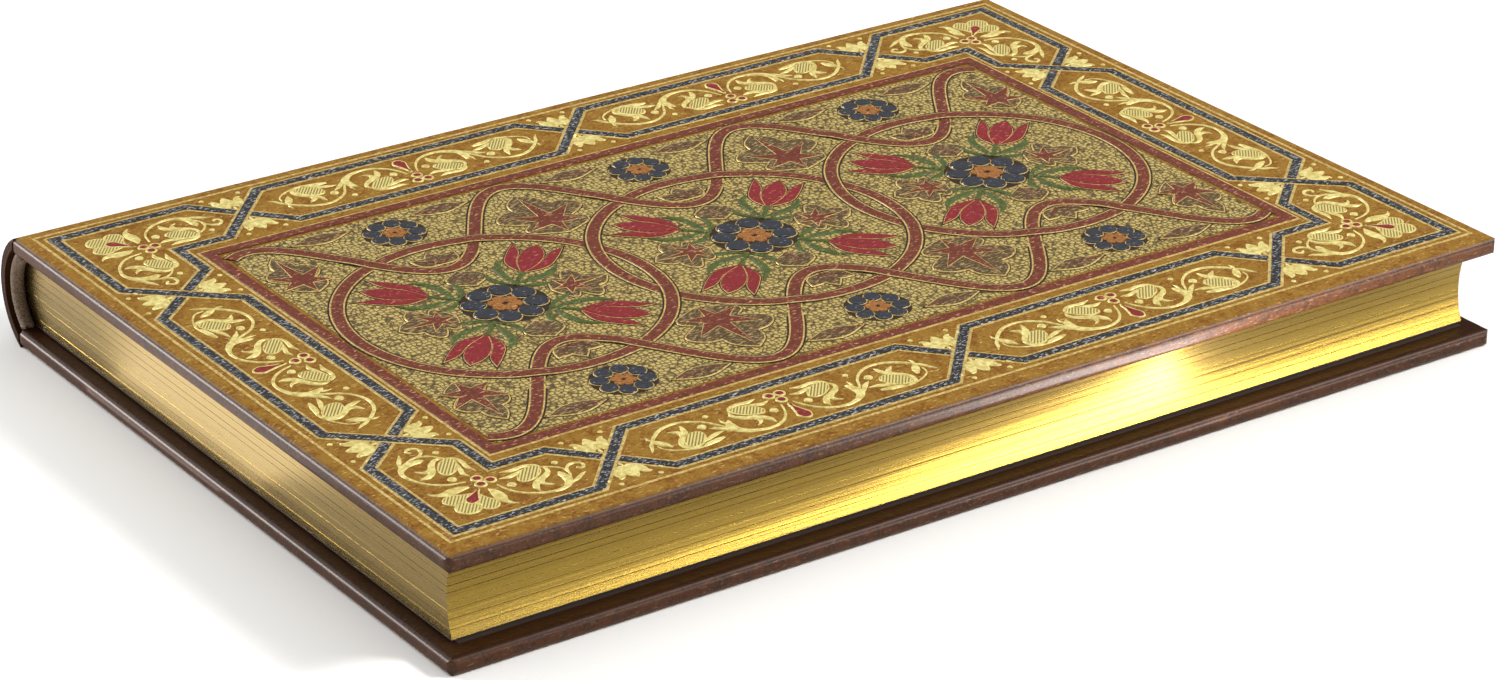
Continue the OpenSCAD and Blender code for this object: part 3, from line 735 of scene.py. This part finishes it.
scroll = {
    "cell": [
        [
            (0.75, 0.45, 0.1), (1.3, -1.0, 0.15), (2.2, -2.3, 0.18), (3.3, -3.1, 0.2), (4.65, -3.45, 0.2),
            (6.0, -3.25, 0.28), (7.1, -2.7, 0.4), (7.9, -1.7, 0.54), (7.95, -0.8, 0.56), (7.7, 0.1, 0.34),
            (7.5, 0.5, 0.08),
        ],
        [(8.1, -0.3, 0.12), (8.25, 0.5, 0.15), (8.2, 1.2, 0.04)],
        [(7.6, -2.2, 0.1), (8.5, -1.5, 0.3), (9.4, -0.6, 0.3), (10.3, 0.0, 0.05)],
        [
            (8.3, -1.2, 0.12), (9.0, 0.05, 0.16), (9.6, 1.15, 0.17), (10.7, 2.2, 0.18), (12.0, 2.85, 0.19),
            (13.4, 2.95, 0.2), (14.8, 2.5, 0.22), (16.0, 1.6, 0.24), (16.85, 0.75, 0.2),
        ],
        [(16.9, 0.9, 0.12), (16.5, 0.1, 0.44), (16.1, -0.6, 0.48), (15.75, -1.5, 0.12)],
        [(16.8, 0.8, 0.12), (17.4, 0.0, 0.24), (17.8, -0.8, 0.18), (18.3, -1.5, 0.04)],
        [(16.8, 0.7, 0.15), (17.0, 1.3, 0.14), (16.9, 1.9, 0.04)],
        [(17.0, -0.5, 0.08), (16.8, -1.5, 0.1), (16.0, -2.3, 0.12), (14.9, -2.85, 0.12), (13.9, -3.2, 0.1)],
    ],
    "arm": [
        [
            (3.65, 1.35, 0.1), (4.1, -0.6, 0.15), (5.3, -2.1, 0.18), (7.2, -3.05, 0.2), (8.8, -3.1, 0.28),
            (9.9, -2.3, 0.44), (10.35, -1.2, 0.54), (10.3, -0.2, 0.42), (10.3, 0.3, 0.1),
        ],
        [(10.3, -1.9, 0.12), (11.0, -0.9, 0.15), (11.2, 0.2, 0.15), (10.7, 1.3, 0.14), (9.6, 2.2, 0.12)],
        [
            (11.2, -0.4, 0.12), (11.5, 0.6, 0.18), (12.25, 1.15, 0.2), (13.1, 0.9, 0.2), (13.3, 0.2, 0.19),
            (12.8, -0.2, 0.17), (12.35, 0.15, 0.15),
        ],
        [(10.0, -2.6, 0.1), (11.2, -2.0, 0.28), (12.0, -1.5, 0.22), (12.7, -1.15, 0.04)],
    ],
    "armFlower": place(3.05, 0.35),
    "bud": [
        [(0.3, 2.3, 0.3), (1.0, 2.9, 0.66), (1.35, 3.8, 0.6), (1.6, 4.5, 0.34), (2.0, 4.7, 0.1)],
        [(-0.3, 2.3, 0.3), (-1.0, 2.9, 0.66), (-1.35, 3.8, 0.6), (-1.6, 4.5, 0.34), (-2.0, 4.7, 0.1)],
        [(0, 2.3, 0.4), (0, 3.0, 0.95), (0, 3.9, 0.9), (0, 4.7, 0.5), (0, 5.2, 0.12)],
        [(0, 1.5, 0.14), (0, 2.0, 0.2), (0, 2.5, 0.1)],
    ],
    "fanLeaf": [
        (-2.4, 1.0, 0.1), (-1.8, 1.9, 0.6), (-1.0, 2.6, 0.7), (-0.2, 3.3, 0.4), (0.1, 4.0, 0.2),
        (0, 4.7, 0.05),
    ],
    "lobe": [(0, 0), (1.5, 0.75), (2.9, 1.3), (3.9, 0.9), (4.3, 0), (3.9, -0.9), (2.9, -1.3), (1.5, -0.75)],
    "fan": [(-46, 0.84), (46, 0.84), (0, 1)],  # turn and size of the lobes
    "cellDots": [(2.2, -0.28, 0.5), (10.7, 0.67, 0.52), (9.0, 2.5, 0.34)],
    "armDots": [(4.85, 0.47, 0.5), (11.1, 2.3, 0.36)],
    "knotDots": [(2.4, 5.7, 0.3), (3.2, 4.4, 0.3)],
}
fan = place(0, 0, 45)  # a corner's palmette, its tip towards the corner


def oval(x, y, long, wide, turn):
    c, s = math.cos(math.radians(turn)), math.sin(math.radians(turn))
    found = []
    for k in range(8):
        u, v = long / 2 * math.cos(k * math.pi / 4), wide / 2 * math.sin(k * math.pi / 4)
        found.append((x + u * c - v * s, y + u * s + v * c))
    return found


def inked(outline, half):
    return [(x, y, half) for x, y in outline]


def scrollPieces():
    lines = stamped(strokes(scroll["cell"]), cellHalves)
    stamped(strokes(scroll["arm"]), armPlaces, lines)
    hatched = bmesh.new()
    for name, at in (
        ("first", cellHalves + [m @ scroll["armFlower"] for m in armPlaces]),
        ("second", cellHalves),
    ):
        cup = oval(*tulips[name]["cup"])
        stamped(strokes(tulips[name]["petals"]), at, lines)
        stamped(strokes([inked(cup, 0.12)], 0.13, closed=True), at, lines)
        stamped(shapes([cup], 0.3, 0.12), at, hatched)
    for at, dots in (
        (cellHalves, scroll["cellDots"]),
        (armPlaces, scroll["armDots"]),
        ([m @ side for m in knotPlaces for side in fourWays], scroll["knotDots"]),
    ):
        for x, y, half in dots:
            stamped(shapes([ring(x, y, half, 1)], half * 0.5, 0.12), at, lines)
    upDown = (Matrix(), flipY)
    stamped(strokes(scroll["bud"]), [m @ side for m in knotPlaces for side in upDown], lines)
    stamped(strokes([scroll["fanLeaf"]]), [m @ fan @ side for m in cornerPlaces for side in upDown], lines)
    lobes = [m @ fan @ place(-0.9, 0, a, size=s) for m in cornerPlaces for a, s in scroll["fan"]]
    stamped(strokes([inked(scroll["lobe"], 0.14)], closed=True), lobes, lines)
    stamped(shapes([scroll["lobe"]], 0.25, 0.08), lobes, hatched)
    finishPiece("borderScrolls", lines, "goldScroll", "front_cover", ["border_scrolls"], face)
    finishPiece("borderFlowers", hatched, "goldHatch", "front_cover", [], face)


scrollPieces()

# Red berries and drops, each in a gold rim
berries = {
    "cell": [(-0.68, 2.85), (0.68, 2.85), (0, 1.45)],
    "corner": [(-4.45, -0.7), (-4.45, 0.7), (-3.3, 0)],
    "radius": 0.46,
    "drop": [
        (0, 0.3), (0.18, -0.7), (0.52, -1.9), (0.72, -2.8),
        (0, -3.6), (-0.72, -2.8), (-0.52, -1.9), (-0.18, -0.7),
    ],
    "cornerDrop": place(-2.1, 0, 90, size=0.9),
}


def berryPieces():
    spots = [m @ place(x, y) for m in cellPlaces for x, y in berries["cell"]]
    spots += [m @ fan @ place(x, y) for m in cornerPlaces for x, y in berries["corner"]]
    drops = cellPlaces + [m @ fan @ berries["cornerDrop"] for m in cornerPlaces]
    drop = berries["drop"]
    fruit = stamped(shapes([ring(0, 0, berries["radius"], 1)], 0.2, 0.2), spots)
    stamped(shapes([drop], 0.2, 0.16, sharp=(0,)), drops, fruit)
    finishPiece("borderBerries", fruit, "red", "front_cover", ["border_berries"], face)
    rims = stamped(strokes([ring(0, 0, berries["radius"] + 0.1, 0.15)], 0.13, closed=True), spots)
    stamped(strokes([inked(drop, 0.16)], 0.13, closed=True, sharp=(0,)), drops, rims)
    finishPiece("berryRims", rims, "goldScroll", "front_cover", [], face)


berryPieces()
print("journal: border embossed")

# Centre panel: a gold ground with rings and waves laced through each other
panel = {
    "rings": 3,
    "lace": 1.5,
    "ringOverlap": 3.4,
    "waveLow": 11.5,
    "laceHigh": 0.12,
    "over": 0.1,  # how far a lace rises where two cross
    "sink": 0.09,  # how far it may sink there
    "spread": 1.5,
    "edgeLine": 0.12,
    "shadowOut": 1.28,  # a dark line's distance from a lace's middle, in half laces
    "shadowHalf": 0.11,
}
innerX = (groundHigh.x - groundLow.x) / 2
innerY = (groundHigh.y - groundLow.y) / 2
panelX = (panelHigh.x - panelLow.x) / 2
frameWidth = panelX - innerX
ringPitch = (2 * innerY - panel["lace"] - panel["ringOverlap"]) / panel["rings"]
ringRadius = (ringPitch + panel["ringOverlap"]) / 2
waveHigh = innerX - panel["lace"] / 2
waveMid = (waveHigh + panel["waveLow"]) / 2
waveSwing = (waveHigh - panel["waveLow"]) / 2


def waveAt(y):
    return waveMid - waveSwing * math.cos(2 * math.pi * y / ringPitch)


def crossing():
    # where a wave meets a ring, found by halving
    low, high = 0, ringPitch / 2
    for i in range(24):
        y = (low + high) / 2
        if math.sqrt(ringRadius**2 - y**2) > waveAt(y):
            low = y
        else:
            high = y
    return low


crossY = crossing()
linkX = math.sqrt(ringRadius**2 - ringPitch**2 / 4)
ringYs = [(k - (panel["rings"] - 1) / 2) * ringPitch for k in range(panel["rings"])]


def laced(x, y, crossings):
    # the lace's height there: crossings are (x, y, 1 over or -1 under)
    lifts = []
    for a, b, sign in crossings:
        lifts.append(sign * math.exp(-((x - a) ** 2 + (y - b) ** 2) / panel["spread"] ** 2))
    return panel["over"] * sum(lifts)


def ringCrossings(y0):
    corners = ((1, 1, 1), (-1, 1, -1), (-1, -1, 1), (1, -1, -1))
    found = [(sx * linkX, sy * ringPitch / 2, sign) for sx, sy, sign in corners]
    found = [c for c in found if abs(y0 + c[1]) < innerY - ringRadius / 2]
    found += [(sx * waveAt(crossY), sy * crossY, -sign) for sx, sy, sign in corners]
    return [(x, y + y0, sign) for x, y, sign in found]


def waveCrossings(side):
    return [(side * waveAt(crossY), y0 + s * crossY, side * s) for y0 in ringYs for s in (-1, 1)]


def lacePath():
    # closed rings and open waves as (points, closed); a point is (x, y, height, direction across)
    paths = []
    for y0 in ringYs:
        crossings = ringCrossings(y0)
        line = []
        for i in range(96):
            a = 2 * math.pi * i / 96
            across = Vector((math.cos(a), math.sin(a)))
            x, y = across.x * ringRadius, across.y * ringRadius + y0
            line.append((x, y, laced(x, y, crossings), across))
        paths.append((line, True))
    for side in (1, -1):
        line = []
        crossings = waveCrossings(side)
        steps = 150
        for i in range(steps + 1):
            y = innerY * (2 * i / steps - 1)
            slope = waveSwing * 2 * math.pi / ringPitch * math.sin(2 * math.pi * y / ringPitch)
            across = Vector((side, -slope)).normalized()
            x = side * waveAt(y)
            line.append((x, y, laced(x, y, crossings), across))
        paths.append((line, False))
    return paths


def ribbon(line, closed, shift, half):
    # a round cord along one side or the middle of a lace
    curve = bpy.data.curves.new("ribbon", "CURVE")
    curve.dimensions = "3D"
    curve.bevel_depth = half
    curve.bevel_resolution = 3
    curve.use_fill_caps = True
    curve.twist_mode = "Z_UP"
    spline = curve.splines.new("POLY")
    spline.points.add(len(line) - 1)
    for point, (x, y, z, across) in zip(spline.points, line):
        point.co = (x + across.x * shift, y + across.y * shift, 0, 1)
    spline.use_cyclic_u = closed
    return meshOf(curve)


def makeLaces():
    # flattened cords that ride over and under each other
    paths = lacePath()
    out = panel["shadowOut"]
    for name, sides, half, high, finish, slot, node in (
        ("panelLaces", (0,), panel["lace"] / 2, panel["laceHigh"], "madder", "madder_print", ["panel_laces"]),
        ("laceLines", (-1, 1), panel["edgeLine"], 0.1, "goldLine", "gold_foil", []),
        ("laceShadows", (-out, out), panel["shadowHalf"], 0.05, "shadow", "madder_print", []),
    ):
        bm = bmesh.new()
        for side in sides:
            for line, closed in paths:
                mesh = ribbon(line, closed, side * panel["lace"] / 2, half)
                around = len(mesh.vertices) // len(line)
                for i, v in enumerate(mesh.vertices):
                    lift = line[min(i // around, len(line) - 1)][2]
                    up = high * math.tanh(v.co.z / high) if v.co.z > 0 else relief["sunk"]
                    v.co.z = up + max(lift, -panel["sink"])
                bm.from_mesh(mesh)
        if node:
            bm.from_mesh(frameRing())
        finishPiece(name, bm, finish, "front_cover", node, onFoil)


def frameRing():
    # the flat frame round the panel, with rounded rims
    bm = bmesh.new()
    frameY = innerY + frameWidth
    rectangle = ((-panelX, -frameY), (panelX, -frameY), (panelX, frameY), (-panelX, frameY))
    sheet = bm.faces.new([bm.verts.new((x, y, 0)) for x, y in rectangle])
    sheet.normal_update()
    bmesh.ops.inset_region(bm, faces=[sheet], thickness=frameWidth, use_boundary=True)
    bmesh.ops.delete(bm, geom=[sheet], context="FACES_ONLY")
    raised = bmesh.ops.extrude_face_region(bm, geom=bm.faces[:])
    lifted = [v for v in raised["geom"] if isinstance(v, bmesh.types.BMVert)]
    bmesh.ops.translate(bm, vec=(0, 0, panel["laceHigh"]), verts=lifted)
    bmesh.ops.recalc_face_normals(bm, faces=bm.faces)
    roundTop(bm, 0.08)
    mesh = bpy.data.meshes.new("frameRing")
    bm.to_mesh(mesh)
    bm.free()
    return mesh


makeLaces()
ground = cadCopy("panel_ground")
finishPiece("panelGround", ground, "goldGround", "front_cover", ["panel_ground"])

# Leaves, flowers and buds of the panel, drawn one unit long
leafOutline = [
    (0, 0), (0.05, 0.3), (0.2, 0.74), (0.33, 0.5), (0.42, 0.82), (0.52, 1.0), (0.66, 0.78), (0.7, 0.42),
    (0.84, 0.36), (1, 0),
]
leafNotches = (3, 7)
r = ringRadius


def lobed(long, wide):
    # a lobed leaf, sharp at its ends and its notches; long and wide are shares of a ring's radius
    upper = [(x * long * r, y * wide * r / 2) for x, y in leafOutline]
    tip = len(leafOutline) - 1
    sharp = (0, tip, *leafNotches, *(2 * tip - i for i in leafNotches))
    return {"outline": upper + [(x, -y) for x, y in reversed(upper[1:-1])], "sharp": sharp, "long": r * long}


def pointed(long, wide):
    half, wide = long * r / 2, wide * r / 2
    outline = [(0, 0), (half, wide), (2 * half, 0), (half, -wide)]
    return {"outline": outline, "sharp": (0, 2), "long": 2 * half}


leafKinds = {
    "cross": lobed(0.39, 0.42),
    "pocket": lobed(0.66, 0.6),
    "corner": lobed(0.58, 0.34),
    "small": pointed(0.24, 0.26),
    "side": pointed(0.4, 0.14),
    "trefoil": pointed(0.2, 0.12),
}


def ringPlaces(*spots):
    return [place(0, y0) @ m for y0 in ringYs for m in spots]


ringGaps = [(a + b) / 2 for a, b in zip(ringYs, ringYs[1:])]
pockets = [side @ place(r * 0.7, y) for y in ringGaps for side in (Matrix(), flipX)]
trough = panel["waveLow"] + panel["lace"] / 2
leafPlaces = {
    "cross": ringPlaces(place(0, r * 0.34, 90), place(0, -r * 0.34, -90)),
    "pocket": pockets,
    "corner": [m @ place(r * 0.78, innerY - r * 0.21) for m in fourWays],
    "small": ringPlaces(place(r * 0.32, 0), flipX @ place(r * 0.32, 0)),
    "side": ringPlaces(*[m @ place(innerX - r * 0.12, r * 0.23, 90) for m in fourWays]),
    "trefoil": ringPlaces(*[m @ place(trough + 0.8, 0, a) for m in (Matrix(), flipX) for a in (-50, 0, 50)]),
}


star = [(0, 0.62), (24, 0.16), (52, 0.42), (80, 0.14), (112, 0.32), (146, 0.1)]  # turn and reach of one half
rib = [(0.06, 0.16), (0.5, 0.14), (0.9, 0.04)]  # place and half width
onLeaf = 0.12  # the height of what lies on a leaf


def starOutline(long):
    # the spiky madder heart of a lobed leaf
    half = [(math.radians(a), reach * long) for a, reach in star]
    upper = [(0.3 * long + reach * math.cos(a), reach * math.sin(a)) for a, reach in half]
    return upper + [(0, 0)] + [(x, -y) for x, y in reversed(upper[1:])]


def makeLeaves():
    filled, dark, hearts, gold = bmesh.new(), bmesh.new(), bmesh.new(), bmesh.new()
    for kind, leaf in leafKinds.items():
        at = leafPlaces[kind]
        raised = [m @ Matrix.Translation((0, 0, onLeaf)) for m in at]
        outline, sharp = leaf["outline"], leaf["sharp"]
        stamped(shapes([outline], 0.3, 0.16, -0.02, sharp=sharp), at, filled)
        stamped(shapes([outline], 0.06, 0.03, 0.24, sharp=sharp), at, dark)
        stamped(strokes([inked(outline, 0.15)], 0.15, closed=True, sharp=sharp), at, gold)
        if len(sharp) > 2:
            heart = starOutline(leaf["long"])
            corners = range(len(heart))
            stamped(shapes([heart], 0.12, 0.1, sharp=corners), raised, hearts)
            stamped(strokes([inked(heart, 0.1)], 0.1, closed=True, sharp=corners), raised, gold)
        else:
            line = [(share * leaf["long"], 0, half) for share, half in rib]
            stamped(strokes([line], 0.1), raised, hearts)
    finishPiece("panelLeaves", filled, "olive", "front_cover", ["panel_leaves"], onFoil)
    finishPiece("leafShadows", dark, "shadow", "front_cover", [], onFoil)
    finishPiece("leafHearts", hearts, "madder", "front_cover", [], onFoil)
    finishPiece("leafLines", gold, "goldLine", "front_cover", [], onFoil)


def scaled(points, size):
    return [(x * size, y * size, *half) for x, y, *half in points]


petal = [(0.44, -0.1), (0.74, -0.27), (1, 0), (0.74, 0.27), (0.44, 0.1)]
wedge = [(0.06, 0), (0.3, -0.15), (0.4, 0), (0.3, 0.15)]


def makeFlowers():
    # rosettes of eight domed petals round a tan heart
    petals, dark, hearts, rims = bmesh.new(), bmesh.new(), bmesh.new(), bmesh.new()
    for radius, spots in (
        (r * 0.27, ringPlaces(Matrix())),
        (r * 0.2, ringPlaces(*[m @ place((r + innerX) / 2, 0) for m in (Matrix(), flipX)])),
    ):
        outline = scaled(petal, radius)
        turned = [m @ place(0, 0, 45 * (k + 0.5)) for m in spots for k in range(8)]
        stamped(shapes([outline], radius * 0.11, 0.2, -0.02), turned, petals)
        stamped(strokes([inked(outline, 0.09)], 0.1, closed=True), turned, rims)
        stamped(shapes([ring(0, 0, radius * 1.04, 1)], 0.06, 0.03), spots, dark)
        slices = [m @ place(0, 0, 60 * k) for m in spots for k in range(6)]
        stamped(shapes([scaled(wedge, radius)], radius * 0.06, 0.16), slices, hearts)
    finishPiece("panelRosettes", petals, "blue", "front_cover", ["panel_rosettes"], onFoil)
    finishPiece("rosetteShadows", dark, "shadow", "front_cover", [], onFoil)
    finishPiece("rosetteHearts", hearts, "tan", "front_cover", ["panel_hearts"], onFoil)
    finishPiece("rosetteLines", rims, "goldLine", "front_cover", [], onFoil)


bud = {
    "start": 0.45,  # distance from a ring's middle, like the sprigs' points in ring radii
    "long": 0.44,
    "centre": [(0, 0), (0.45, 0.16), (0.8, 0.13), (1, 0), (0.8, -0.13), (0.45, -0.16)],
    "wing": [(0.04, 0.03), (0.3, 0.3), (0.62, 0.36), (0.98, 0.36), (0.74, 0.22), (0.4, 0.17)],
    "leaves": [
        [(0.3, 0, 0.1), (0.4, 0.1, 0.55), (0.52, 0.17, 0.5), (0.64, 0.17, 0.05)],
        [(0.28, 0, 0.1), (0.3, 0.12, 0.42), (0.38, 0.22, 0.3), (0.44, 0.24, 0.05)],
    ],
}


def makeBuds():
    # red buds on the rings' diagonals, each a heart petal between two curling ones, on green sprigs
    start, long = r * bud["start"], r * bud["long"]
    diagonals = ringPlaces(*[m @ place(0, 0, 45) for m in fourWays])
    centre, wing = scaled(bud["centre"], long), scaled(bud["wing"], long)
    ends = (0, 3)
    at = [m @ place(start, 0) for m in diagonals]
    both = [m @ side for m in at for side in (Matrix(), flipY)]
    buds = stamped(shapes([centre], 0.3, 0.18, sharp=ends), at)
    stamped(shapes([wing], 0.26, 0.16, sharp=ends), both, buds)
    finishPiece("panelBuds", buds, "red", "front_cover", ["panel_buds"], onFoil)
    dark = stamped(shapes([centre], 0.06, 0.03, 0.2, sharp=ends), at)
    stamped(shapes([wing], 0.06, 0.03, 0.2, sharp=ends), both, dark)
    finishPiece("budShadows", dark, "shadow", "front_cover", [], onFoil)
    gold = stamped(strokes([inked(centre, 0.08)], 0.1, closed=True, sharp=ends), at)
    stamped(strokes([inked(wing, 0.08)], 0.1, closed=True, sharp=ends), both, gold)
    finishPiece("budLines", gold, "goldLine", "front_cover", [], onFoil)
    stem = [(r * 0.27, 0, 0.3), (r * 0.4, 0, 0.3), (start + 0.4, 0, 0.42)]
    leaves = [scaled(line, r) for line in bud["leaves"]]
    halves = [m @ side for m in diagonals for side in (Matrix(), flipY)]
    green = stamped(strokes([stem], 0.13), diagonals)
    stamped(strokes(leaves, 0.13), halves, green)
    finishPiece("panelSprigs", green, "green", "front_cover", ["panel_sprigs"], onFoil)


makeLeaves()
makeFlowers()
makeBuds()
print("journal: panel embossed")

# Floor, lights and camera
studio = {
    "eye": (0.38169, -0.26581, 0.21377),
    "turn": (1.82, 0.954, -0.607),  # rotation vector of the photograph's camera
    "lens": 106.4,
    "world": 0.25,
    # each light: where it stands, what it faces, the way its length runs, its width and length, its power
    "lights": [
        ("overhead", (0, 0.1, 1.2), (0, 0, 0), (0, 1, 0), (2.4, 2.4), 15),
        ("rightLight", (0.475, 0.55, 0.61), (0, 0, 0), (0, 0, 1), (0.2, 0.2), 7),
        ("leftLight", (-0.74, -0.3, 0.44), (0, 0, 0), (0, 0, 1), (0.2, 0.2), 3),
        ("rightGlow", (0.86, 0.593, 0.1), (0.04, 0.01, 0.1), (0, 0, 1), (0.06, 0.19), 3.6),
        ("leftGlow", (-0.826, -0.652, 0.1), (-0.01, -0.07, 0.1), (0, 0, 1), (0.06, 0.19), 9),
        ("rightCard", (0.182, 0.107, 0.001), (0.182, 0.107, 1), (0.8, 0.6, 0), (0.036, 0.3), 0.9),
        ("leftCard", (-0.0505, -0.1, 0.001), (-0.0505, -0.1, 1), (-0.89, -0.45, 0), (0.034, 0.12), 0.019),
    ],
}


def makeStudio():
    bm = bmesh.new()
    bmesh.ops.create_grid(bm, x_segments=1, y_segments=1, size=3000)
    bmesh.ops.transform(bm, matrix=Matrix.Scale(mm, 4), verts=bm.verts)
    mesh = bpy.data.meshes.new("floor")
    bm.to_mesh(mesh)
    bm.free()
    floor = bpy.data.objects.new("floor", mesh)
    bpy.context.scene.collection.objects.link(floor)

    def paperFloor(at):
        return {"Base Color": mixed(noise(at, 0.02, 2), paint(244, 244, 244), paint(248, 248, 247))}

    matte = {"Roughness": 0.9, "Specular IOR Level": 0.2}
    mesh.materials.append(newMaterial("floorPaper", paperFloor, matte))
    world = bpy.data.worlds.new("studio")
    bpy.context.scene.world = world
    world.use_nodes = True
    sky = world.node_tree.nodes["Background"].inputs
    sky["Color"].default_value = (1, 1, 1, 1)
    sky["Strength"].default_value = studio["world"]
    turn = Vector(studio["turn"])
    look = Matrix.Rotation(turn.length, 3, turn.normalized())
    right, down, forward = look[0], look[1], look[2]
    camera = bpy.data.objects.new("camera", bpy.data.cameras.new("camera"))
    camera.data.lens = studio["lens"]
    camera.data.sensor_width = 36
    camera.data.clip_start = 0.01
    axes = Matrix((right, -down, -forward)).transposed().to_4x4()
    camera.matrix_world = Matrix.Translation(studio["eye"]) @ axes
    bpy.context.scene.collection.objects.link(camera)
    bpy.context.scene.camera = camera
    for name, at, aim, along, size, power in studio["lights"]:
        lamp = bpy.data.lights.new(name, "AREA")
        lamp.shape = "RECTANGLE"
        lamp.size, lamp.size_y = size
        lamp.energy = power
        lamp.color = (1, 0.99, 0.97)
        holder = bpy.data.objects.new(name, lamp)
        back = (Vector(at) - Vector(aim)).normalized()
        side = Vector(along).cross(back).normalized()
        axes = Matrix((side, back.cross(side), back)).transposed().to_4x4()
        holder.matrix_world = Matrix.Translation(at) @ axes
        holder.visible_camera = False
        bpy.context.scene.collection.objects.link(holder)


makeStudio()
bpy.context.scene.view_settings.view_transform = "Standard"
print("journal: studio lit")
